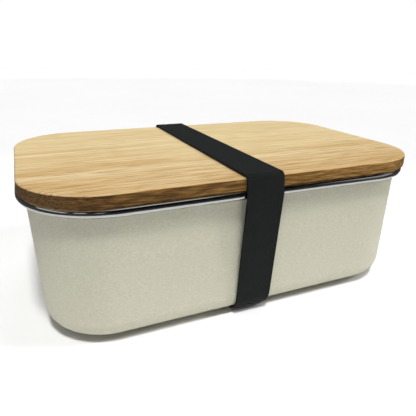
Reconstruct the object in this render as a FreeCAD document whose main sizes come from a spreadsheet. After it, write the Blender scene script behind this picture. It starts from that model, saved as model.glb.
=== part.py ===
"""Bento lunch box: a deep-drawn steel tub with a rolled rim, a bamboo lid with a silicone
seal, and a woven elastic strap that closes round both.

Frame: +X runs along the box, +Y to its back and +Z up. The origin is on the surface that
the closed box stands on, under its middle. Millimetres.
"""

import FreeCAD, Part
import math
import os
from types import SimpleNamespace

import Sketcher
from FreeCAD import Vector

DRIVING = {
    # bamboo board
    "lid_length": 190.0,
    "lid_width": 122.0,
    "lid_corner": 32.0,
    "lid_top": 67.9,
    "board_thick": 5.1,
    "top_round": 0.8,
    # plug milled below the board; every inset is measured inwards from the board's outline
    "plug_inset": 4.3,
    "plug_corner": 31.3,
    "plug_neck": 1.0,
    "groove_tall": 2.2,
    "groove_deep": 1.6,
    "plug_foot": 1.3,
    "plug_round": 0.5,
    # silicone seal
    "fin_reach": 0.7,
    "fin_thick": 0.6,
    "fin_edge": 0.25,
    # steel tub
    "base_plane": 1.5,
    "sheet_thick": 0.6,
    "wall_inset_top": 2.5,
    "wall_inset_base": 5.0,
    "corner_top": 33.2,
    "corner_base": 27.0,
    "base_round": 9.0,
    # pressed panel in the tub's base
    "panel_rise": 1.4,
    "panel_inset": 22.0,
    "panel_corner": 16.0,
    # rolled rim
    "rim_level": 60.45,
    "curl_outer": 1.95,
    # elastic strap
    "strap_wide": 17.5,
    "strap_thick": 1.2,
    "strap_gap": 0.3,
    "strap_place": -1.6,
    "stretch_low": 61.6,
    "stretch_high": 66.4,
    # lap at the back, on the strap's inner face, and the seam through it
    "lap_low": 36.0,
    "lap_long": 18.0,
    "seam_margin": 3.0,
    "stitch_long": 1.9,
    "stitch_pitch": 2.5,
    "stitch_round": 0.22,
}
STITCHES_IN_A_ROW = 6
SEAM_ROWS = 3
CURL_END = -125.0
FRONT = -1
BACK = 1


class Size:
    """A length that carries both its value and the sheet expression that gives it."""

    def __init__(self, value, text):
        self.value = value
        self.text = text

    @staticmethod
    def of(other):
        return other if isinstance(other, Size) else Size(float(other), f"{other}")

    def __add__(self, other):
        other = Size.of(other)
        return Size(self.value + other.value, f"({self.text} + {other.text})")

    def __sub__(self, other):
        other = Size.of(other)
        return Size(self.value - other.value, f"({self.text} - {other.text})")

    def __mul__(self, other):
        other = Size.of(other)
        return Size(self.value * other.value, f"({self.text} * {other.text})")

    def __truediv__(self, other):
        other = Size.of(other)
        return Size(self.value / other.value, f"({self.text} / {other.text})")

    def __neg__(self):
        return Size(-self.value, f"(0 - {self.text})")


def fill_sheet(document):
    """Writes the driving sizes into a sheet, one named cell each, and returns them."""
    sheet = document.addObject("Spreadsheet::Sheet", "sizes")
    for row, (name, number) in enumerate(DRIVING.items(), start=1):
        sheet.set(f"A{row}", name)
        sheet.set(f"B{row}", f"{number}")
        sheet.setAlias(f"B{row}", name)
    document.recompute()
    named = {name: Size(sheet.get(name), f"sizes.{name}") for name in DRIVING}
    return SimpleNamespace(**named)


doc = FreeCAD.newDocument("bento_lunch_box")
s = fill_sheet(doc)

HALF_LENGTH = s.lid_length / 2
HALF_WIDTH = s.lid_width / 2
BOARD_UNDER = s.lid_top - s.board_thick
GROOVE_TOP = BOARD_UNDER - s.plug_neck
GROOVE_LOW = GROOVE_TOP - s.groove_tall
PLUG_LOW = GROOVE_LOW - s.plug_foot
CURL_INNER = s.curl_outer - s.sheet_thick
RIM_INSET = s.wall_inset_top - CURL_INNER
FLOOR = s.base_plane + s.sheet_thick
WALL_LEAN = (s.wall_inset_base - s.wall_inset_top) / (s.rim_level - s.base_plane)


class Chain:
    """Lines and arcs in a sketch, each joined to the one before, smoothly or at a corner."""

    def __init__(self, sketch):
        self.sketch = sketch
        self.links = []

    def _append(self, geometry, enter, leave, smooth):
        index = self.sketch.addGeometry(geometry, False)
        if self.links:
            self._join(self.links[-1], (index, enter, leave), smooth)
        self.links.append((index, enter, leave))
        return index

    def _join(self, before, after, smooth):
        kind = "Tangent" if smooth else "Coincident"
        constraint = Sketcher.Constraint(kind, before[0], before[2], after[0], after[1])
        self.sketch.addConstraint(constraint)

    def line(self, start, end, smooth=True):
        """A line between two places, given as plain numbers; what it joins fixes it."""
        return self._append(Part.LineSegment(Vector(*start, 0), Vector(*end, 0)), 1, 2, smooth)

    def arc(self, centre, radius, begin, end, smooth=True):
        """An arc about a centre of two sizes, from one angle to the other, in degrees."""
        circle = Part.Circle(Vector(centre[0].value, centre[1].value, 0), Vector(0, 0, 1),
                             radius.value)
        low, high = math.radians(min(begin, end)), math.radians(max(begin, end))
        enter, leave = (1, 2) if end > begin else (2, 1)
        index = self._append(Part.ArcOfCircle(circle, low, high), enter, leave, smooth)
        fix_centre(self.sketch, index, centre)
        fix_size(self.sketch, Sketcher.Constraint("Radius", index, radius.value), radius)
        return index

    def close(self, smooth=True):
        self._join(self.links[-1], self.links[0], smooth)


def fix_size(sketch, constraint, size):
    """Adds a dimension to a sketch and binds it to the sheet."""
    index = sketch.addConstraint(constraint)
    sketch.setExpression(f"Constraints[{index}]", size.text)


def fix_point(sketch, index, end, across=None, up=None):
    """Holds a point at a signed distance from the sketch's origin, along either axis."""
    if across is not None:
        fix_size(sketch, Sketcher.Constraint("DistanceX", -1, 1, index, end, across.value), across)
    if up is not None:
        fix_size(sketch, Sketcher.Constraint("DistanceY", -1, 1, index, end, up.value), up)


def fix_centre(sketch, index, centre):
    fix_point(sketch, index, 3, across=centre[0], up=centre[1])


def new_body(name):
    body = doc.addObject("PartDesign::Body", name)
    body.Label = name
    return body


def new_sketch(body, name, plane, offset):
    """A sketch on one of the body's own origin planes, moved along that plane's normal."""
    sketch = body.newObject("Sketcher::SketchObject", name)
    origin_plane = next(o for o in body.Origin.OriginFeatures if o.Role == plane)
    sketch.AttachmentSupport = [(origin_plane, "")]
    sketch.MapMode = "FlatFace"
    sketch.setExpression("AttachmentOffset.Base.z", offset.text)
    return sketch


def draw_outline(sketch, inset, corner, from_middle=False):
    """A rounded rectangle inside the board's outline, optionally begun amid its right side."""
    across = HALF_LENGTH - inset
    up = HALF_WIDTH - inset
    reach = across.value
    rise = (up - corner).value
    chain = Chain(sketch)
    if from_middle:
        first = chain.line((reach, 0), (reach, rise))
        fix_point(sketch, first, 1, up=Size.of(0))
    signs = [(1, 1), (-1, 1), (-1, -1), (1, -1)]
    for quarter, (right, back) in enumerate(signs):
        centre = ((across - corner) * right, (up - corner) * back)
        chain.arc(centre, corner, 90 * quarter, 90 * quarter + 90)
        if quarter == 3:
            break
        start = quarter_point(centre, corner, 90 * quarter + 90)
        following = signs[quarter + 1]
        next_centre = ((across - corner) * following[0], (up - corner) * following[1])
        chain.line(start, quarter_point(next_centre, corner, 90 * quarter + 90))
    if from_middle:
        chain.line((reach, -rise), (reach, 0))
        chain.close(smooth=False)
    else:
        chain.line((reach, -rise), (reach, rise))
        chain.close()


def quarter_point(centre, radius, degrees):
    angle = math.radians(degrees)
    return (centre[0].value + radius.value * math.cos(angle),
            centre[1].value + radius.value * math.sin(angle))


def outline_sketch(body, name, height, inset, corner):
    sketch = new_sketch(body, name, "XY_Plane", height)
    draw_outline(sketch, inset, corner)
    return sketch


def pad(body, name, sketch, length):
    feature = body.newObject("PartDesign::Pad", name)
    feature.Profile = sketch
    feature.setExpression("Length", length.text)
    return feature


def slab(body, name, low, high, inset, corner):
    """A rounded-rectangular block between two heights."""
    sketch = outline_sketch(body, f"{name}_sketch", low, inset, corner)
    return pad(body, name, sketch, high - low)


def round_edges(body, name, radius, heights):
    """Rounds every edge of the body's tip that lies flat at one of the given heights."""
    doc.recompute()
    base = body.Tip
    levels = [height.value for height in heights]
    edges = []
    for number, edge in enumerate(base.Shape.Edges, start=1):
        box = edge.BoundBox
        if any(max(abs(box.ZMin - level), abs(box.ZMax - level)) < 1e-4 for level in levels):
            edges.append(f"Edge{number}")
    feature = body.newObject("PartDesign::Fillet", name)
    feature.Base = (base, edges)
    feature.setExpression("Radius", radius.text)
    return feature


def drawn_block(body, name, low, inwards):
    """The tub's outside down to a height, or the same shape a sheet's thickness inwards."""
    upper = outline_sketch(body, f"{name}_high", s.rim_level, s.wall_inset_top + inwards,
                           s.corner_top - inwards)
    lower = outline_sketch(body, f"{name}_low", low, s.wall_inset_base + inwards,
                           s.corner_base - inwards)
    loft = body.newObject("PartDesign::AdditiveLoft", name)
    loft.Profile = upper
    loft.Sections = [lower]
    loft.Ruled = True
    round_edges(body, f"{name}_round", s.base_round - inwards, [low])


def make_tub():
    """Deep-drawn shell: leaning walls, a pressed panel in its base and a curled rim."""
    body = new_body("tub")
    drawn_block(body, "outside", s.base_plane, Size.of(0))
    space = new_body("tub_space")
    drawn_block(space, "inside", FLOOR, s.sheet_thick)
    walls = body.newObject("PartDesign::Boolean", "walls")
    walls.Type = "Cut"
    walls.setObjects([space])
    thick = s.sheet_thick
    slab(body, "panel", FLOOR, FLOOR + s.panel_rise, s.panel_inset, s.panel_corner)
    recess_sketch = outline_sketch(body, "recess_sketch", s.base_plane, s.panel_inset + thick,
                                   s.panel_corner - thick)
    cut_upwards(body, "recess", recess_sketch, s.panel_rise)
    round_edges(body, "panel_round", thick, [FLOOR + s.panel_rise, s.base_plane + s.panel_rise])
    curl_rim(body)
    return body


def cut_upwards(body, name, sketch, depth):
    """A pocket that must remove material above its sketch."""
    doc.recompute()
    before = body.Tip.Shape.Volume
    feature = body.newObject("PartDesign::Pocket", name)
    feature.Profile = sketch
    feature.Reversed = True
    feature.setExpression("Length", depth.text)
    doc.recompute()
    if feature.Shape.Volume > before - 1.0:
        raise RuntimeError(f"{name} removed nothing")
    return feature


def curl_rim(body):
    """Rolls the sheet outwards along the wall's top edge."""
    path = new_sketch(body, "rim_path", "XY_Plane", s.rim_level)
    draw_outline(path, RIM_INSET, s.corner_top + CURL_INNER, from_middle=True)
    section = new_sketch(body, "rim_section", "XZ_Plane", Size.of(0))
    centre = (HALF_LENGTH - RIM_INSET, s.rim_level)
    chain = Chain(section)
    chain.arc(centre, s.curl_outer, 180, CURL_END)
    mouth = chain.line(quarter_point(centre, s.curl_outer, CURL_END),
                       quarter_point(centre, CURL_INNER, CURL_END), smooth=False)
    chain.arc(centre, CURL_INNER, CURL_END, 180, smooth=False)
    foot = chain.line(quarter_point(centre, CURL_INNER, 180),
                      quarter_point(centre, s.curl_outer, 180), smooth=False)
    chain.close(smooth=False)
    section.addConstraint(Sketcher.Constraint("Horizontal", foot))
    fix_point(section, foot, 1, up=s.rim_level)
    section.addConstraint(Sketcher.Constraint("Angle", mouth, math.radians(180 + CURL_END)))
    feature = body.newObject("PartDesign::AdditivePipe", "rim_curl")
    feature.Profile = section
    feature.Spine = path
    return feature


def make_board():
    """Bamboo board with a plug milled below it and a groove round the plug."""
    body = new_body("lid_board")
    slab(body, "foot", PLUG_LOW, GROOVE_LOW, s.plug_inset, s.plug_corner)
    core_inset = s.plug_inset + s.groove_deep
    slab(body, "core", GROOVE_LOW, GROOVE_TOP, core_inset, s.plug_corner - s.groove_deep)
    slab(body, "neck", GROOVE_TOP, BOARD_UNDER, s.plug_inset, s.plug_corner)
    slab(body, "board", BOARD_UNDER, s.lid_top, Size.of(0), s.lid_corner)
    round_edges(body, "foot_round", s.plug_round, [PLUG_LOW])
    round_edges(body, "top_edge", s.top_round, [s.lid_top])
    return body


def ring(body, name, low, high, outer_inset, width, corner):
    """A band between two heights, between an outline and the same outline further in."""
    sketch = outline_sketch(body, f"{name}_sketch", low, outer_inset, corner)
    draw_outline(sketch, outer_inset + width, corner - width)
    return pad(body, name, sketch, high - low)


def make_seal():
    """Silicone ring that fills the plug's groove, with two fins that reach for the wall."""
    body = new_body("lid_seal")
    ring(body, "root", GROOVE_LOW, GROOVE_TOP, s.plug_inset, s.groove_deep, s.plug_corner)
    reach = s.fin_reach
    fin_levels = [GROOVE_LOW + s.fin_edge, GROOVE_TOP - s.fin_edge - s.fin_thick]
    for number, low in enumerate(fin_levels, start=1):
        ring(body, f"fin_{number}", low, low + s.fin_thick, s.plug_inset - reach,
             reach + reach, s.plug_corner + reach)
    return body


def rounds_under_strap(side):
    """The rounds that one side of the strap is drawn over: base corner, rim, board's edge."""
    base_in = s.wall_inset_base + s.base_round * (Size.of(1) - WALL_LEAN)
    return SimpleNamespace(
        base=((HALF_WIDTH - base_in) * side, s.base_plane + s.base_round, s.base_round),
        rim=((HALF_WIDTH - RIM_INSET) * side, s.rim_level, s.curl_outer),
        board=((HALF_WIDTH - s.top_round) * side, s.lid_top - s.top_round, s.top_round),
    )


def facing(side, low, high):
    """The angle that a strap drawn over two rounds faces, in degrees."""
    across = high[0].value - low[0].value
    rise = high[1].value - low[1].value
    turn = math.acos((low[2].value - high[2].value) / math.hypot(across, rise))
    return math.degrees(math.atan2(rise, across) - side * turn)


def at_height(centre, radius, degrees, height):
    """Where the line that touches a round at an angle reaches a height."""
    touch = quarter_point(centre, radius, degrees)
    angle = math.radians(degrees)
    return (touch[0] - (height - touch[1]) * math.tan(angle), height)


def strap_pad(body, name, sketch):
    feature = pad(body, name, sketch, s.strap_wide)
    feature.Midplane = True
    return feature


def guide(sketch, centre, radius):
    """A construction circle that a line of the strap is drawn towards."""
    circle = Part.Circle(Vector(centre[0].value, centre[1].value, 0), Vector(0, 0, 1),
                         radius.value)
    index = sketch.addGeometry(circle, True)
    fix_centre(sketch, index, centre)
    fix_size(sketch, Sketcher.Constraint("Radius", index, radius.value), radius)
    return index


def make_strap_side(name, side):
    """From under the base, round its corner and straight up over the rim."""
    body = new_body(name)
    sketch = new_sketch(body, f"{name}_sketch", "YZ_Plane", s.strap_place)
    rounds = rounds_under_strap(side)
    lower = facing(side, rounds.base, rounds.rim)
    upper = facing(side, rounds.rim, rounds.board)
    down = 270 if side == FRONT else -90
    top = s.stretch_low.value
    near = s.strap_gap
    far = s.strap_gap + s.strap_thick
    chain = Chain(sketch)
    base, rim, board = rounds.base, rounds.rim, rounds.board
    chain.arc(base[:2], base[2] + near, down, lower)
    chain.line(quarter_point(base, base[2] + near, lower), quarter_point(rim, rim[2] + near, lower))
    chain.arc(rim[:2], rim[2] + near, lower, upper)
    inner_top = at_height(rim, rim[2] + near, upper, top)
    outer_top = at_height(rim, rim[2] + far, upper, top)
    inner = chain.line(quarter_point(rim, rim[2] + near, upper), inner_top)
    across = chain.line(inner_top, outer_top, smooth=False)
    outer = chain.line(outer_top, quarter_point(rim, rim[2] + far, upper), smooth=False)
    chain.arc(rim[:2], rim[2] + far, upper, lower)
    chain.line(quarter_point(rim, rim[2] + far, lower), quarter_point(base, base[2] + far, lower))
    chain.arc(base[:2], base[2] + far, lower, down)
    end = chain.line(quarter_point(base, base[2] + far, down),
                     quarter_point(base, base[2] + near, down), smooth=False)
    chain.close(smooth=False)
    sketch.addConstraint(Sketcher.Constraint("Horizontal", across))
    fix_point(sketch, across, 1, up=s.stretch_low)
    sketch.addConstraint(Sketcher.Constraint("Vertical", end))
    fix_point(sketch, end, 1, across=base[0])
    for line, out in ((inner, near), (outer, far)):
        circle = guide(sketch, board[:2], board[2] + out)
        sketch.addConstraint(Sketcher.Constraint("Tangent", line, circle))
    strap_pad(body, f"{name}_pad", sketch)
    return body


def draw_band(sketch, below, above, side, near, far, low, high):
    """Draws a slice, between two heights, of a layer drawn taut over two rounds."""
    angle = facing(side, below, above)
    near_low = at_height(below, below[2] + near, angle, low.value)
    near_high = at_height(below, below[2] + near, angle, high.value)
    far_low = at_height(below, below[2] + far, angle, low.value)
    far_high = at_height(below, below[2] + far, angle, high.value)
    chain = Chain(sketch)
    inner = chain.line(near_low, near_high)
    upper = chain.line(near_high, far_high, smooth=False)
    outer = chain.line(far_high, far_low, smooth=False)
    lower = chain.line(far_low, near_low, smooth=False)
    chain.close(smooth=False)
    for line, level in ((upper, high), (lower, low)):
        sketch.addConstraint(Sketcher.Constraint("Horizontal", line))
        fix_point(sketch, line, 1, up=level)
    for line, out in ((inner, near), (outer, far)):
        for support in (below, above):
            circle = guide(sketch, support[:2], support[2] + out)
            sketch.addConstraint(Sketcher.Constraint("Tangent", line, circle))


def make_strap_stretch(name, side):
    """The short run between the rim and the board's edge, which gives when the lid lifts."""
    body = new_body(name)
    sketch = new_sketch(body, f"{name}_sketch", "YZ_Plane", s.strap_place)
    rounds = rounds_under_strap(side)
    draw_band(sketch, rounds.rim, rounds.board, side, s.strap_gap,
              s.strap_gap + s.strap_thick, s.stretch_low, s.stretch_high)
    strap_pad(body, f"{name}_pad", sketch)
    return body


def add_lap(body, side):
    """The strap's other end, lying on the inner face of one of its sides."""
    sketch = new_sketch(body, "strap_lap_sketch", "YZ_Plane", s.strap_place)
    rounds = rounds_under_strap(side)
    draw_band(sketch, rounds.base, rounds.rim, side, s.strap_gap - s.strap_thick, s.strap_gap,
              s.lap_low, s.lap_low + s.lap_long)
    strap_pad(body, "strap_lap", sketch)


def make_strap_top():
    """Across the lid, with its bends over the board's two long edges."""
    body = new_body("strap_top")
    sketch = new_sketch(body, "strap_top_sketch", "YZ_Plane", s.strap_place)
    near = s.strap_gap
    far = s.strap_gap + s.strap_thick
    front = rounds_under_strap(FRONT)
    back = rounds_under_strap(BACK)
    low = s.stretch_high.value
    left = facing(FRONT, front.rim, front.board)
    right = facing(BACK, back.rim, back.board)
    chain = Chain(sketch)
    front_low = {out.value: at_height(front.board, front.board[2] + out, left, low)
                 for out in (near, far)}
    back_low = {out.value: at_height(back.board, back.board[2] + out, right, low)
                for out in (near, far)}
    legs = []
    legs.append(chain.line(front_low[far.value],
                           quarter_point(front.board, front.board[2] + far, left)))
    chain.arc(front.board[:2], front.board[2] + far, left, 90)
    chain.line(quarter_point(front.board, front.board[2] + far, 90),
               quarter_point(back.board, back.board[2] + far, 90))
    chain.arc(back.board[:2], back.board[2] + far, 90, right)
    legs.append(chain.line(quarter_point(back.board, back.board[2] + far, right),
                           back_low[far.value]))
    back_end = chain.line(back_low[far.value], back_low[near.value], smooth=False)
    legs.append(chain.line(back_low[near.value],
                           quarter_point(back.board, back.board[2] + near, right), smooth=False))
    chain.arc(back.board[:2], back.board[2] + near, right, 90)
    chain.line(quarter_point(back.board, back.board[2] + near, 90),
               quarter_point(front.board, front.board[2] + near, 90))
    chain.arc(front.board[:2], front.board[2] + near, 90, left)
    legs.append(chain.line(quarter_point(front.board, front.board[2] + near, left),
                           front_low[near.value]))
    front_end = chain.line(front_low[near.value], front_low[far.value], smooth=False)
    chain.close(smooth=False)
    for line in (back_end, front_end):
        sketch.addConstraint(Sketcher.Constraint("Horizontal", line))
        fix_point(sketch, line, 1, up=s.stretch_high)
    for line, support, out in zip(legs, (front.rim, back.rim, back.rim, front.rim),
                                  (far, far, near, near)):
        circle = guide(sketch, support[:2], support[2] + out)
        sketch.addConstraint(Sketcher.Constraint("Tangent", line, circle))
    strap_pad(body, "strap_top_pad", sketch)
    return body


def draw_box(sketch, left, low, wide, tall):
    """A rectangle from its lower left corner."""
    x0, y0 = left.value, low.value
    x1, y1 = (left + wide).value, (low + tall).value
    corners = [(x0, y0), (x1, y0), (x1, y1), (x0, y1)]
    chain = Chain(sketch)
    for start, end in zip(corners, corners[1:] + corners[:1]):
        chain.line(start, end, smooth=False)
    chain.close(smooth=False)
    first = chain.links[0][0]
    for number, direction in enumerate(("Horizontal", "Vertical", "Horizontal", "Vertical")):
        sketch.addConstraint(Sketcher.Constraint(direction, first + number))
    fix_point(sketch, first, 1, across=left, up=low)
    fix_point(sketch, first + 2, 1, across=left + wide, up=low + tall)


def make_strap_bottom():
    """The flat run under the base."""
    body = new_body("strap_bottom")
    run = new_sketch(body, "strap_run_sketch", "YZ_Plane", s.strap_place)
    half_run = rounds_under_strap(BACK).base[0]
    draw_box(run, -half_run, Size.of(0), half_run * 2, s.strap_thick)
    strap_pad(body, "strap_run", run)
    return body


def half_thread(left, up, out):
    """One stitch: half a round thread along X on a face, standing out of it either way."""
    radius = s.stitch_round.value
    long = s.stitch_long.value
    thread = Part.makeCylinder(radius, long, Vector(left, 0, up), Vector(1, 0, 0))
    proud = Part.makeBox(long, radius, 2 * radius,
                         Vector(left, 0 if out > 0 else -radius, up - radius))
    return thread.common(proud)


def make_stitching():
    """Thread of the seam: rows of stitches on the strap's outer face and on the lap's."""
    rounds = rounds_under_strap(BACK)
    angle = facing(BACK, rounds.base, rounds.rim)
    layers = 2 * s.strap_thick.value
    rise = (s.lap_long - s.seam_margin * 2).value / math.cos(math.radians(angle))
    row_long = (s.stitch_pitch * (STITCHES_IN_A_ROW - 1) + s.stitch_long).value
    stitches = []
    for row in range(SEAM_ROWS):
        up = rise * row / (SEAM_ROWS - 1)
        for number in range(STITCHES_IN_A_ROW):
            left = s.stitch_pitch.value * number - row_long / 2
            stitches.append(half_thread(left, up, 1))
            inner = half_thread(left, up, -1)
            inner.translate(Vector(0, -layers, 0))
            stitches.append(inner)
    feature = doc.addObject("Part::Feature", "strap_stitching")
    feature.Label = "strap_stitching"
    feature.Shape = Part.makeCompound(stitches)
    lowest = (s.lap_low + s.seam_margin).value
    outer = s.strap_gap + s.strap_thick
    on_face = at_height(rounds.base, rounds.base[2] + outer, angle, lowest)
    feature.Placement = FreeCAD.Placement(Vector(s.strap_place.value, *on_face),
                                          FreeCAD.Rotation(Vector(1, 0, 0), angle))
    return feature


def check_document():
    """Stops if any object failed, because a recompute alone doesn't say so."""
    for item in doc.Objects:
        if "Invalid" in item.State or "Error" in item.State:
            raise RuntimeError(f"{item.Label} failed: {item.State}")


def write_part(body):
    """Checks one piece and writes it under its own name."""
    shape = body.Shape
    if shape.isNull() or not shape.isValid() or not shape.Solids:
        raise RuntimeError(f"{body.Label} has no valid solid")
    shape.exportStep(os.path.join("parts", f"{body.Label}.step"))
    print(f"{body.Label}: {len(shape.Solids)} solid(s), {shape.Volume:.1f} mm3")


back_side = make_strap_side("strap_back_side", BACK)
add_lap(back_side, BACK)
pieces = [
    make_tub(),
    make_board(),
    make_seal(),
    make_strap_bottom(),
    make_strap_side("strap_front_side", FRONT),
    back_side,
    make_strap_stretch("strap_front_stretch", FRONT),
    make_strap_stretch("strap_back_stretch", BACK),
    make_strap_top(),
    make_stitching(),
]
doc.recompute()
check_document()
os.makedirs("parts", exist_ok=True)
for piece in pieces:
    write_part(piece)
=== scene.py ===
"""Looks of the bento lunch box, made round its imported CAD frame. Metres."""

import math

import bpy
import numpy as np
from mathutils import Matrix, Vector


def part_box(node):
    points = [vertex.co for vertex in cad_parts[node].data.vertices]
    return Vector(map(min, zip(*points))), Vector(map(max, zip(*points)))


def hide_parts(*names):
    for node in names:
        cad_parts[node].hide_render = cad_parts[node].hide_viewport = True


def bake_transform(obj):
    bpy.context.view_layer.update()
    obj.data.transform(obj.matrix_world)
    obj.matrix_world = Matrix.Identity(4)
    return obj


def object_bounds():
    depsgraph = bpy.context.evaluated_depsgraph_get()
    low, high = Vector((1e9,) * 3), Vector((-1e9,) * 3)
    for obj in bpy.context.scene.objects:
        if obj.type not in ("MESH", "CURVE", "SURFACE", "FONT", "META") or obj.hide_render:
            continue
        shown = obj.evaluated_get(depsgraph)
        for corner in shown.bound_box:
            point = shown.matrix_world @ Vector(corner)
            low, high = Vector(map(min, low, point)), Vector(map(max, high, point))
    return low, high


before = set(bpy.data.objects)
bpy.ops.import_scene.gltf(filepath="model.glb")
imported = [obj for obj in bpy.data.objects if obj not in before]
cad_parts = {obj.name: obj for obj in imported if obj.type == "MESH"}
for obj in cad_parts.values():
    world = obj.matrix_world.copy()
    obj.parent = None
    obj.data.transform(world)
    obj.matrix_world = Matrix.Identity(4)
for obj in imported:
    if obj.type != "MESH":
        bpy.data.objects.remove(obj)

CAD_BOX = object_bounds()
MM = 0.001

# ---------------------------------------------------------------- places from the frame
TUB_LOW, TUB_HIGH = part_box("tub")
BOARD_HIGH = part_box("lid_board")[1]
RUN_LOW, RUN_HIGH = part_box("strap_bottom")
FLOOR_LEVEL = CAD_BOX[0][2] - 0.02 * MM

STRAP_MIDDLE = (RUN_LOW.x + RUN_HIGH.x) / 2
STRAP_WIDE = RUN_HIGH.x - RUN_LOW.x
STRAP_THICK = RUN_HIGH.z - RUN_LOW.z

# ---------------------------------------------------------------- sizes that the frame doesn't say
# The tub: a level halfway up, what bounds the pressed panel in its base, its bare rim.
WALL_LEVEL = 35.0 * MM
PANEL_HALF_LONG = 80.0 * MM
PANEL_HALF_WIDE = 44.0 * MM
PANEL_TOP = 4.0 * MM
BARE_RIM = 3.95 * MM

# The board: its glued strips, and the length between two nodes of the bamboo.
STRIP_WIDE = 19.0 * MM
NODE_PITCH = 230.0 * MM

# What the strap runs round, and how far off it lies.
BASE_ROUND = 9.0 * MM
RIM_ROUND = 1.95 * MM
BOARD_ROUND = 0.8 * MM
STRAP_GAP = 0.3 * MM

# The strap's lap at the back.
LAP_LOW = 36.0 * MM
LAP_LONG = 18.0 * MM
LAP_RAMP = 6.0 * MM
LAYER_GAP = 0.04 * MM

# The webbing: its rounded selvedges, ribs and yarns, and how finely it is drawn.
EDGE_ROUND = 0.45 * MM
RIBS = 17
RIB_RISE = 0.03 * MM
YARN_PITCH = 0.7 * MM
STEPS_PER_RIB = 6
ROW_STEP = 1.0 * MM
ARC_STEP = math.radians(7)


# ---------------------------------------------------------------- node helpers
class Shader:
    """A material's node tree, with one Principled shader and short calls for the rest."""

    def __init__(self, name, roughness, **numbers):
        self.material = bpy.data.materials.new(name)
        self.material.use_nodes = True
        self.tree = self.material.node_tree
        self.surface = self.tree.nodes["Principled BSDF"]
        self.surface.inputs["Roughness"].default_value = roughness
        for socket, number in numbers.items():
            self.surface.inputs[socket.replace("_", " ")].default_value = number

    def put(self, socket, value):
        """Sets an input, or links it when the value is another node's output."""
        if isinstance(value, bpy.types.NodeSocket):
            self.tree.links.new(value, socket)
        else:
            socket.default_value = value

    def node(self, kind, inputs=None, **settings):
        node = self.tree.nodes.new(kind)
        for key, setting in settings.items():
            setattr(node, key, setting)
        for key, value in (inputs or {}).items():
            self.put(node.inputs[key], value)
        return node

    def math(self, operation, *values, clamp=False):
        node = self.node("ShaderNodeMath", operation=operation, use_clamp=clamp)
        for socket, value in zip(node.inputs, values):
            self.put(socket, value)
        return node.outputs[0]

    def vector_math(self, operation, *values):
        node = self.node("ShaderNodeVectorMath", operation=operation)
        for socket, value in zip(node.inputs, values):
            self.put(socket, value)
        return node.outputs["Value" if operation == "DOT_PRODUCT" else "Vector"]

    def position(self):
        return self.node("ShaderNodeTexCoord").outputs["Object"]

    def normal(self):
        return self.node("ShaderNodeTexCoord").outputs["Normal"]

    def split(self, vector):
        node = self.node("ShaderNodeSeparateXYZ", {"Vector": vector})
        return node.outputs["X"], node.outputs["Y"], node.outputs["Z"]

    def join(self, x, y, z):
        return self.node("ShaderNodeCombineXYZ", {"X": x, "Y": y, "Z": z}).outputs[0]

    def scaled(self, vector, factors):
        return self.vector_math("MULTIPLY", vector, factors)

    def noise(self, vector, scale, detail=2.0, roughness=0.5):
        inputs = {"Vector": vector, "Scale": scale, "Detail": detail, "Roughness": roughness}
        return self.node("ShaderNodeTexNoise", inputs).outputs["Fac"]

    def remap(self, value, low, high, to_low=0.0, to_high=1.0, curve="LINEAR"):
        inputs = {"Value": value, "From Min": low, "From Max": high,
                  "To Min": to_low, "To Max": to_high}
        node = self.node("ShaderNodeMapRange", inputs, clamp=True, interpolation_type=curve)
        return node.outputs["Result"]

    def smooth(self, value, low, high, to_low=0.0, to_high=1.0):
        return self.remap(value, low, high, to_low, to_high, "SMOOTHSTEP")

    def mix(self, factor, first, second):
        node = self.node("ShaderNodeMix", data_type="RGBA", blend_type="MIX")
        self.put(node.inputs["Factor"], factor)
        self.put(node.inputs[6], first)
        self.put(node.inputs[7], second)
        return node.outputs[2]

    def ramp(self, value, stops):
        node = self.node("ShaderNodeValToRGB", {"Fac": value})
        elements = node.color_ramp.elements
        while len(elements) < len(stops):
            elements.new(0.5)
        for element, (place, colour) in zip(elements, stops):
            element.position = place
            element.color = (*colour, 1.0)
        return node.outputs["Color"]

    def bump(self, height, strength, distance):
        inputs = {"Height": height, "Strength": strength, "Distance": distance}
        return self.node("ShaderNodeBump", inputs).outputs["Normal"]

    def finish(self, **links):
        for socket, value in links.items():
            self.put(self.surface.inputs[socket.replace("_", " ")], value)
        return self.material


def rgb(red, green, blue):
    """A linear colour from screen values of 0 to 255."""
    return tuple(((c / 255 + 0.055) / 1.055) ** 2.4 if c > 10 else c / 255 / 12.92
                 for c in (red, green, blue))


def rgba(red, green, blue):
    return (*rgb(red, green, blue), 1.0)


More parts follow.
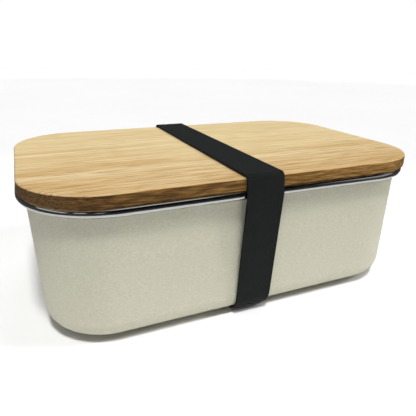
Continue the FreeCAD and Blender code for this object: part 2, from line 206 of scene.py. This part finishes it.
# ---------------------------------------------------------------- materials
def bamboo():
    """Glued bamboo strips that run along X, with fibres, nodes and darker cut edges."""
    m = Shader("bamboo", 0.5, Specular_IOR_Level=0.3)
    place = m.position()
    x, y, z = m.split(place)
    strip_place = m.math("DIVIDE", m.math("ADD", y, 0.2), STRIP_WIDE)
    strip = m.math("FLOOR", strip_place)
    across = m.math("FRACT", strip_place)
    chance = m.node("ShaderNodeTexWhiteNoise", {"W": strip}, noise_dimensions="1D").outputs[0]
    shifted = m.join(m.math("ADD", x, m.math("MULTIPLY", chance, 3.0)), y, z)

    bands = m.noise(m.scaled(shifted, (3.0, 110.0, 110.0)), 1.0, 2.0, 0.5)
    streaks = m.noise(m.scaled(shifted, (22.0, 900.0, 900.0)), 1.0, 3.0, 0.6)
    dashes = m.noise(m.scaled(shifted, (55.0, 1500.0, 1500.0)), 1.0, 2.0, 0.6)
    tone = m.math("ADD", m.math("MULTIPLY", bands, 0.3), m.math("MULTIPLY", streaks, 0.7))
    tone = m.math("ADD", tone, m.math("MULTIPLY", m.math("SUBTRACT", chance, 0.5), 0.04))
    slow = m.noise(m.scaled(place, (7.0, 14.0, 14.0)), 1.0, 1.0)
    # The tone deepens toward the front edge and the left end, with slow blotches added; this
    # drives the colour, the contrast and the dashes below.
    tone_depth = m.math("ADD", m.smooth(y, -62.0 * MM, 5.0 * MM, 0.8, 0.05),
                  m.smooth(x, -95.0 * MM, 0.0, 0.25, 0.0))
    blotches = m.math("MULTIPLY", m.math("SUBTRACT", slow, 0.5), 0.9)
    tone_depth = m.math("ADD", tone_depth, blotches, clamp=True)
    contrast = m.remap(tone_depth, 0.0, 1.0, 0.7, 2.8)
    tone = m.math("ADD", m.math("MULTIPLY", m.math("SUBTRACT", tone, 0.5), contrast), 0.5)
    colour = m.ramp(tone, [(0.32, rgb(196, 166, 112)), (0.45, rgb(213, 190, 142)),
                           (0.55, rgb(222, 202, 157)), (0.68, rgb(232, 216, 176))])
    colour = m.mix(m.math("MULTIPLY", tone_depth, 0.6), colour, rgba(190, 150, 98))
    dark_dashes = m.smooth(dashes, 0.37, 0.46, 1.0, 0.0)
    dash_depth = m.remap(tone_depth, 0.0, 1.0, 0.15, 1.0)
    colour = m.mix(m.math("MULTIPLY", dark_dashes, dash_depth), colour, rgba(150, 108, 58))

    along = m.math("FRACT", m.math("ADD", m.math("DIVIDE", x, NODE_PITCH), chance))
    waver = m.math("MULTIPLY", m.noise(m.scaled(place, (60.0, 500.0, 500.0)), 1.0), 0.05)
    from_node = m.math("ABSOLUTE", m.math("SUBTRACT", m.math("ADD", along, waver), 0.5))
    node_mask = m.smooth(from_node, 0.004, 0.022, 1.0, 0.0)
    node_mask = m.math("MULTIPLY", node_mask, m.smooth(streaks, 0.46, 0.60))
    colour = m.mix(m.math("MULTIPLY", node_mask, 0.32), colour, rgba(184, 144, 90))

    joint = m.math("ABSOLUTE", m.math("SUBTRACT", across, 0.5))
    glue = m.smooth(joint, 0.490, 0.5)
    colour = m.mix(m.math("MULTIPLY", glue, 0.10), colour, rgba(150, 108, 62))

    facing = m.math("ABSOLUTE", m.split(m.normal())[2])
    edge = m.smooth(facing, 0.35, 0.75, 1.0, 0.0)
    cut = m.noise(m.scaled(place, (120.0, 700.0, 1700.0)), 1.0, 3.0, 0.6)
    # Painted light: the cut edges get lighter toward the right end, as if more light falls on them
    # there.
    painted_light_from_right = m.remap(x, -90.0 * MM, 60.0 * MM, -0.13, 0.10)
    cut = m.math("ADD", cut, painted_light_from_right)
    edge_colour = m.ramp(cut, [(0.30, rgb(60, 36, 10)), (0.45, rgb(102, 70, 23)),
                               (0.58, rgb(130, 94, 40)), (0.74, rgb(166, 128, 72))])
    pores = m.node("ShaderNodeTexVoronoi", {"Vector": m.scaled(place, (100.0, 1100.0, 1100.0)),
                                            "Scale": 1.0}).outputs["Distance"]
    end_on = m.smooth(m.math("ABSOLUTE", m.split(m.normal())[0]), 0.25, 0.7)
    pore_mask = m.math("MULTIPLY", m.smooth(pores, 0.25, 0.42, 1.0, 0.0), end_on)
    edge_colour = m.mix(m.math("MULTIPLY", end_on, 0.35), edge_colour, rgba(116, 86, 46))
    edge_colour = m.mix(m.math("MULTIPLY", pore_mask, 0.65), edge_colour, rgba(46, 28, 8))
    colour = m.mix(edge, colour, edge_colour)

    relief = m.math("SUBTRACT", m.math("MULTIPLY", streaks, 0.5),
                    m.math("MULTIPLY", m.math("ADD", glue, dark_dashes), 0.3))
    rough = m.remap(streaks, 0.3, 0.7, 0.60, 0.48)
    return m.finish(Base_Color=colour, Roughness=rough,
                    Normal=m.bump(relief, 0.3, 0.05 * MM))


def coated_steel():
    """Cream powder coat outside; bare steel at the rolled rim and inside.

    A face is inside if it looks towards the tub's middle. In the pressed panel of the base
    it is inside if it looks up.
    """
    m = Shader("coated_steel", 0.6, Specular_IOR_Level=0.35)
    place = m.position()
    x, y, z = m.split(place)
    normal = m.normal()
    middle = (0.0, 0.0, WALL_LEVEL)
    inwards = m.vector_math("DOT_PRODUCT", normal, m.vector_math("SUBTRACT", middle, place))
    panel_way = m.vector_math("DOT_PRODUCT", normal, m.join(x, y, 1.0))
    in_panel = m.math("MULTIPLY", m.math("LESS_THAN", m.math("ABSOLUTE", x), PANEL_HALF_LONG),
                      m.math("LESS_THAN", m.math("ABSOLUTE", y), PANEL_HALF_WIDE))
    in_panel = m.math("MULTIPLY", in_panel, m.math("LESS_THAN", z, PANEL_TOP))
    turned = m.math("ADD", m.math("MULTIPLY", in_panel, panel_way),
                    m.math("MULTIPLY", m.math("SUBTRACT", 1.0, in_panel), inwards))
    inside = m.math("GREATER_THAN", turned, 0.0)
    at_rim = m.math("GREATER_THAN", z, TUB_HIGH.z - BARE_RIM)
    bare = m.math("MAXIMUM", inside, at_rim)

    grain = m.noise(place, 1500.0, 2.0, 0.6)
    mottle = m.noise(place, 420.0, 2.0, 0.6)
    tone = m.math("ADD", m.math("MULTIPLY", grain, 0.85), m.math("MULTIPLY", mottle, 0.15))
    coat = m.ramp(tone, [(0.30, rgb(188, 186, 165)), (0.5, rgb(197, 195, 175)),
                         (0.70, rgb(206, 204, 186))])
    specks = m.node("ShaderNodeTexVoronoi", {"Vector": place, "Scale": 260.0}).outputs
    rare = m.math("GREATER_THAN", m.split(specks["Color"])[0], 0.95)
    fleck = m.math("MULTIPLY", m.smooth(specks["Distance"], 0.04, 0.09, 1.0, 0.0), rare)
    coat = m.mix(m.math("MULTIPLY", fleck, 0.3), coat, rgba(130, 126, 106))
    # Painted shade: the coat is mixed darker where the wall turns under at the base, standing in
    # for the shade that falls there.
    painted_base_shade = m.smooth(z, TUB_LOW.z + 1.5 * MM, TUB_LOW.z + 5.0 * MM, 0.5, 0.0)
    coat = m.mix(painted_base_shade, coat, rgba(150, 146, 118))

    brushed = m.noise(m.scaled(place, (1.0, 1.0, 30.0)), 240.0, 3.0, 0.7)
    steel = m.ramp(brushed, [(0.3, (0.42, 0.42, 0.41)), (0.7, (0.50, 0.50, 0.49))])
    steel_rough = m.math("ADD", m.math("MULTIPLY", inside, 0.22),
                         m.remap(brushed, 0.3, 0.7, 0.10, 0.14))
    coat_rough = m.remap(mottle, 0.3, 0.7, 0.54, 0.64)
    rough = m.math("ADD", m.math("MULTIPLY", bare, steel_rough),
                   m.math("MULTIPLY", m.math("SUBTRACT", 1.0, bare), coat_rough))
    relief = m.math("MULTIPLY", grain, m.math("SUBTRACT", 1.0, bare))
    metallic = m.math("SUBTRACT", bare, m.math("MULTIPLY", inside, 0.35))
    return m.finish(Base_Color=m.mix(bare, coat, steel), Metallic=metallic, Roughness=rough,
                    Normal=m.bump(relief, 0.3, 0.05 * MM))


def silicone():
    """Milky, slightly dusty silicone."""
    m = Shader("silicone", 0.5, Subsurface_Weight=0.25, Subsurface_Scale=1.5 * MM,
               Specular_IOR_Level=0.4)
    m.surface.inputs["Subsurface Radius"].default_value = (1.0, 0.9, 0.8)
    place = m.position()
    dust = m.noise(place, 600.0, 3.0, 0.6)
    colour = m.ramp(dust, [(0.35, rgb(203, 203, 198)), (0.65, rgb(224, 224, 219))])
    return m.finish(Base_Color=colour, Roughness=m.remap(dust, 0.3, 0.7, 0.42, 0.58),
                    Normal=m.bump(dust, 0.15, 0.03 * MM))


def webbing():
    """Black woven elastic: fine yarns across it between its ribs, and a little wear."""
    m = Shader("webbing", 0.9, Sheen_Weight=0.03, Sheen_Roughness=0.5, Specular_IOR_Level=0.12)
    m.surface.inputs["Sheen Tint"].default_value = (0.8, 0.82, 0.85, 1.0)
    weave = m.node("ShaderNodeAttribute", attribute_name="weave").outputs["Vector"]
    across, along, _ = m.split(weave)
    rib = m.math("SINE", m.math("MULTIPLY", across, 2 * math.pi * RIBS / STRAP_WIDE))
    yarn_phase = m.math("ADD", m.math("MULTIPLY", along, 2 * math.pi / YARN_PITCH),
                        m.math("MULTIPLY", m.math("SIGN", rib), math.pi / 2))
    yarn = m.math("SINE", yarn_phase)
    wear = m.noise(weave, 900.0, 3.0, 0.6)
    height = m.math("ADD", m.math("MULTIPLY", yarn, 0.5), m.math("MULTIPLY", wear, 0.5))
    tone = m.math("ADD", m.math("MULTIPLY", yarn, 0.10), wear)
    colour = m.ramp(tone, [(0.25, rgb(24, 26, 26)), (0.5, rgb(28, 30, 30)),
                           (0.85, rgb(34, 36, 36))])
    return m.finish(Base_Color=colour, Normal=m.bump(height, 0.3, 0.05 * MM))


def thread():
    """Twisted black sewing thread."""
    m = Shader("thread", 0.6, Sheen_Weight=0.1, Specular_IOR_Level=0.3)
    place = m.position()
    twist = m.noise(m.scaled(place, (4000.0, 4000.0, 2500.0)), 1.0, 2.0)
    colour = m.ramp(twist, [(0.35, rgb(26, 27, 27)), (0.65, rgb(44, 46, 46))])
    return m.finish(Base_Color=colour, Normal=m.bump(twist, 0.4, 0.05 * MM))


def floor_paint():
    """Matt white paint."""
    m = Shader("floor_paint", 0.9, Specular_IOR_Level=0.1)
    colour = m.ramp(m.noise(m.position(), 3.0),
                    [(0.3, (0.86, 0.86, 0.86)), (0.7, (0.88, 0.88, 0.88))])
    return m.finish(Base_Color=colour)


def glowing_paper(name, glow):
    """Evenly lit white paper, for what stands round the stage."""
    m = Shader(name, 1.0, Emission_Strength=glow)
    m.surface.inputs["Base Color"].default_value = (0.0, 0.0, 0.0, 1.0)
    m.surface.inputs["Emission Color"].default_value = (1.0, 1.0, 1.0, 1.0)
    return m.finish()


def dress(name, material):
    """Gives a CAD node its material."""
    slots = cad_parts[name].data.materials
    slots.clear()
    slots.append(material)


# ---------------------------------------------------------------- the strap
def belt_rounds():
    """What the strap is drawn over, in the order it runs: down the back, under, up, over."""
    reach = BASE_ROUND + STRAP_GAP + STRAP_THICK / 2
    base = (RUN_HIGH.y, TUB_LOW.z + BASE_ROUND, reach)
    rim = (TUB_HIGH.y - RIM_ROUND, TUB_HIGH.z - RIM_ROUND,
           RIM_ROUND + STRAP_GAP + STRAP_THICK / 2)
    board = (BOARD_HIGH.y - BOARD_ROUND, BOARD_HIGH.z - BOARD_ROUND,
             BOARD_ROUND + STRAP_GAP + STRAP_THICK / 2)
    back = [board, rim, base]
    front = [(-y, z, radius) for y, z, radius in reversed(back)]
    return back + front


def belt_line():
    """The closed centreline of the strap: places (y, z) and outward directions, by length."""
    rounds = belt_rounds()
    count = len(rounds)
    facings = []
    for low, high in zip(rounds, rounds[1:] + rounds[:1]):
        across, rise = high[0] - low[0], high[1] - low[1]
        turn = math.acos((low[2] - high[2]) / math.hypot(across, rise))
        facings.append(math.atan2(rise, across) + turn)
    places, facing_at = [], []
    for number, (y, z, radius) in enumerate(rounds):
        arrive, leave = facings[number - 1], facings[number]
        sweep = (leave - arrive) % (2 * math.pi) - 2 * math.pi
        steps = max(2, math.ceil(abs(sweep) / ARC_STEP))
        for step in range(steps + 1):
            angle = arrive + sweep * step / steps
            places.append((y + radius * math.cos(angle), z + radius * math.sin(angle)))
            facing_at.append(angle)
        following = rounds[(number + 1) % count]
        end = np.array([following[0] + following[2] * math.cos(leave),
                        following[1] + following[2] * math.sin(leave)])
        start = np.array(places[-1])
        rows = int(np.linalg.norm(end - start) / ROW_STEP)
        for row in range(1, rows):
            places.append(tuple(start + (end - start) * row / rows))
            facing_at.append(leave)
    return np.array(places), np.array(facing_at)


def smooth_step(value):
    value = np.clip(value, 0.0, 1.0)
    return value * value * (3 - 2 * value)


def strap_path():
    """The open strap from its inner end, once round, to the end that lies over it."""
    places, facings = belt_line()
    on_back = np.where((places[:, 0] > 0) & (np.abs(np.sin(facings)) < 0.3)
                       & (places[:, 1] < TUB_HIGH.z - 2 * RIM_ROUND))[0]
    heights = places[on_back, 1]
    first = on_back[np.argmin(np.abs(heights - LAP_LOW - LAP_LONG))]
    last = on_back[np.argmin(np.abs(heights - LAP_LOW))]
    order = np.concatenate([np.arange(first, len(places)), np.arange(0, last + 1)])
    places, facings = places[order], facings[order]
    outward = np.stack([np.cos(facings), np.sin(facings)], axis=1)
    lengths = np.concatenate([[0.0], np.cumsum(np.linalg.norm(np.diff(places, axis=0), axis=1))])
    inner = 1.0 - smooth_step((lengths - LAP_LONG) / LAP_RAMP)
    places = places - outward * (inner * (STRAP_THICK + LAYER_GAP))[:, None]
    return places, outward, lengths


def half_thickness(across):
    """Half the webbing's thickness over its width: ribs along it and rounded selvedges."""
    rib = RIB_RISE * (np.cos(2 * math.pi * RIBS * across / STRAP_WIDE) - 1)
    into_edge = np.clip((np.abs(across) - STRAP_WIDE / 2 + EDGE_ROUND) / EDGE_ROUND, 0, 1)
    return (STRAP_THICK / 2 + rib) * np.sqrt(np.clip(1 - into_edge ** 2, 0.0, 1.0))


def build_strap():
    """One length of webbing as a closed mesh, with its lap at the back."""
    places, outward, lengths = strap_path()
    inner_edge = STRAP_WIDE / 2 - EDGE_ROUND
    flat = np.linspace(-inner_edge, inner_edge, RIBS * STEPS_PER_RIB + 1)
    turn = np.linspace(0, math.pi / 2, 5)[1:]
    selvedge = inner_edge + EDGE_ROUND * np.sin(turn)
    across = np.concatenate([-selvedge[::-1], flat, selvedge])
    half = half_thickness(across)
    ring_x = np.concatenate([across, across[::-1][1:-1]])
    ring_out = np.concatenate([half, -half[::-1][1:-1]])
    rows, ring = len(places), len(ring_x)
    points = np.zeros((rows, ring, 3))
    points[:, :, 0] = STRAP_MIDDLE + ring_x
    points[:, :, 1:] = places[:, None, :] + outward[:, None, :] * ring_out[None, :, None]
    faces = []
    for row in range(rows - 1):
        for spot in range(ring):
            after = (spot + 1) % ring
            low, high = row * ring, (row + 1) * ring
            faces.append((low + spot, low + after, high + after, high + spot))
    top = len(across)
    for row in (0, rows - 1):
        start = row * ring
        for spot in range(top - 1):
            under = [(ring - spot) % ring, (ring - spot - 1) % ring]
            quad = [start + spot, start + spot + 1, start + under[1], start + under[0]]
            quad = list(dict.fromkeys(quad))
            if len(quad) > 2:
                faces.append(tuple(quad if row else reversed(quad)))
    mesh = bpy.data.meshes.new("strap_webbing")
    mesh.from_pydata(points.reshape(-1, 3).tolist(), [], faces)
    weave = mesh.attributes.new("weave", "FLOAT_VECTOR", "POINT")
    values = np.zeros((rows, ring, 3), np.float32)
    values[:, :, 0] = ring_x
    values[:, :, 1] = lengths[:, None]
    values[:, :, 2] = ring_out
    weave.data.foreach_set("vector", values.ravel())
    return finish_mesh(mesh, "strap_webbing", webbing())


def finish_mesh(mesh, name, material):
    """Tidies a mesh, shades it smooth and puts it in the scene as a piece."""
    mesh.validate()
    mesh.update()
    piece = bpy.data.objects.new(name, mesh)
    bpy.context.scene.collection.objects.link(piece)
    bpy.context.view_layer.objects.active = piece
    for polygon in mesh.polygons:
        polygon.use_smooth = True
    mesh.materials.append(material)
    return piece


# ---------------------------------------------------------------- the stage
def toward(azimuth, elevation):
    """The direction of a place in the sky, from angles in degrees."""
    across, up = math.radians(azimuth), math.radians(elevation)
    return Vector((math.cos(across) * math.cos(up), math.sin(across) * math.cos(up),
                   math.sin(up)))


def soft_sun(name, azimuth, elevation, wide, strength):
    """A distant soft light, as wide in the sky as the given angle in degrees."""
    data = bpy.data.lights.new(name, "SUN")
    data.angle = math.radians(wide)
    data.energy = strength
    light = bpy.data.objects.new(name, data)
    direction = toward(azimuth, elevation)
    light.location = direction
    light.rotation_euler = (-direction).to_track_quat("-Z", "Y").to_euler()
    light.visible_glossy = False
    bpy.context.scene.collection.objects.link(light)


def rings(name, profile, material, spokes=96):
    """A round surface about the Z axis, drawn as rings of a reach and a level each."""
    points = []
    for reach, level in profile:
        for spoke in range(spokes):
            angle = 2 * math.pi * spoke / spokes
            points.append((reach * math.cos(angle), reach * math.sin(angle), level))
    faces = []
    for low in range(0, spokes * (len(profile) - 1), spokes):
        for spoke in range(spokes):
            after = (spoke + 1) % spokes
            faces.append((low + spoke, low + after, low + spokes + after, low + spokes + spoke))
    mesh = bpy.data.meshes.new(name)
    mesh.from_pydata(points, [], faces)
    return finish_mesh(mesh, name, material)


def show_to(piece, camera=False, diffuse=False, glossy=False):
    """Leaves a stage object to the given kinds of ray, without a shadow."""
    piece.visible_camera = camera
    piece.visible_diffuse = diffuse
    piece.visible_glossy = glossy
    piece.visible_shadow = False


def build_floor():
    """A pale floor that curves up all round, with a white backdrop behind it."""
    flat_reach, bend, sweep, steps = 2.2, 2.0, math.radians(55), 16
    middle_reach, table_reach, backdrop_top = 0.01 * MM, 0.35, 3.0
    profile = [(reach, FLOOR_LEVEL) for reach in (middle_reach, table_reach, flat_reach)]
    for step in range(1, steps + 1):
        angle = sweep * step / steps
        profile.append((flat_reach + bend * math.sin(angle),
                        FLOOR_LEVEL + bend * (1 - math.cos(angle))))
    rings("floor", profile, floor_paint())
    backdrop = rings("backdrop", [(flat_reach, FLOOR_LEVEL), (flat_reach, backdrop_top)],
                     glowing_paper("backdrop_paper", 1.0))
    show_to(backdrop, camera=True)


def felt(name):
    """Unlit surroundings, a little paler at table level than above it."""
    m = Shader(name, 1.0, Specular_IOR_Level=0.0)
    height = m.split(m.position())[2]
    grey = m.ramp(height, [(0.0, (0.07, 0.07, 0.07)), (0.9, (0.01, 0.01, 0.01))])
    return m.finish(Base_Color=grey)


def build_surroundings():
    """Dark surroundings: a room for the steel to reflect, and a floor that bounces no light."""
    room_level, room_reach, room_top = 1.0 * MM, 1.5, 2.6
    room = rings("unlit_room", [(0.19, room_level), (room_reach, room_level),
                                (room_reach, room_top)], felt("unlit_room_felt"))
    show_to(room, glossy=True)
    floor_level = 2.0 * MM
    far_floor = rings("unlit_floor", [(0.32, floor_level), (1.6, floor_level)],
                      felt("unlit_floor_felt"))
    show_to(far_floor, diffuse=True)


def glowing_sheet(name, corners, glow):
    """A flat glowing sheet, seen only in reflections."""
    mesh = bpy.data.meshes.new(name)
    mesh.from_pydata(corners, [], [(0, 1, 2, 3)])
    sheet = finish_mesh(mesh, name, glowing_paper(f"{name}_paper", glow))
    show_to(sheet, glossy=True)
    return sheet


def build_card(name, azimuth, low, high, wide, glow):
    """An upright card, for a streak in the steel."""
    card_reach = 1.2
    half = wide / 2
    card = glowing_sheet(name, [(-half, 0, low), (half, 0, low), (half, 0, high),
                                (-half, 0, high)], glow)
    card.location = card_reach * toward(azimuth, 0)
    card.rotation_euler = (0, 0, math.radians(azimuth + 90))


def build_ceiling():
    """A sheet overhead, for the steel inside the tub."""
    half, height = 1.1, 2.6
    glowing_sheet("ceiling", [(-half, -half, height), (half, -half, height),
                              (half, half, height), (-half, half, height)], 0.8)


def build_camera():
    """A close view from the front left and above."""
    yaw, pitch, roll = math.radians(23.874), math.radians(21.025), math.radians(0.877)
    target = Vector((-0.595, -1.786, 32.695)) * MM
    distance = 233.43 * MM
    forward = Vector((math.sin(yaw) * math.cos(pitch), math.cos(yaw) * math.cos(pitch),
                      -math.sin(pitch)))
    right = Vector((math.cos(yaw), -math.sin(yaw), 0))
    up = right.cross(forward)
    right, up = (right * math.cos(roll) + up * math.sin(roll),
                 up * math.cos(roll) - right * math.sin(roll))
    data = bpy.data.cameras.new("camera")
    data.sensor_width = 36.0
    data.lens = 36.166
    data.clip_start = 0.01
    camera = bpy.data.objects.new("camera", data)
    axes = Matrix((right, up, -forward)).transposed().to_4x4()
    camera.matrix_world = Matrix.Translation(target - forward * distance) @ axes
    bpy.context.scene.collection.objects.link(camera)
    bpy.context.scene.camera = camera


def build_light():
    """Soft suns for the box, and cards and a ceiling for its steel to reflect."""
    world = bpy.data.worlds.new("studio")
    world.use_nodes = True
    background = world.node_tree.nodes["Background"]
    background.inputs["Color"].default_value = (1.0, 1.0, 1.0, 1.0)
    background.inputs["Strength"].default_value = 0.12
    bpy.context.scene.world = world
    bpy.context.scene.view_settings.view_transform = "Standard"
    soft_sun("front_high", -98, 71.5, 10, 2.7)
    soft_sun("front_right", -22, 34, 8, 1.05)
    soft_sun("left", 180, 50, 12, 0.10)
    soft_sun("behind", 60, 65, 20, 0.35)
    build_card("left_card", -172, 0.30, 0.62, 0.9, 0.9)
    build_card("corner_card", -136, 0.45, 0.75, 0.30, 1.0)
    build_card("front_card", -112, 0.50, 0.72, 0.22, 0.8)
    build_card("right_card", -28, 0.25, 0.80, 0.8, 0.5)
    build_ceiling()


build_floor()
build_surroundings()
build_camera()
build_light()

dress("lid_board", bamboo())
dress("tub", coated_steel())
dress("lid_seal", silicone())

strap = build_strap()
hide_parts("strap_bottom", "strap_front_side", "strap_back_side",
            "strap_front_stretch", "strap_back_stretch", "strap_top")
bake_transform(strap)
dress("strap_stitching", thread())
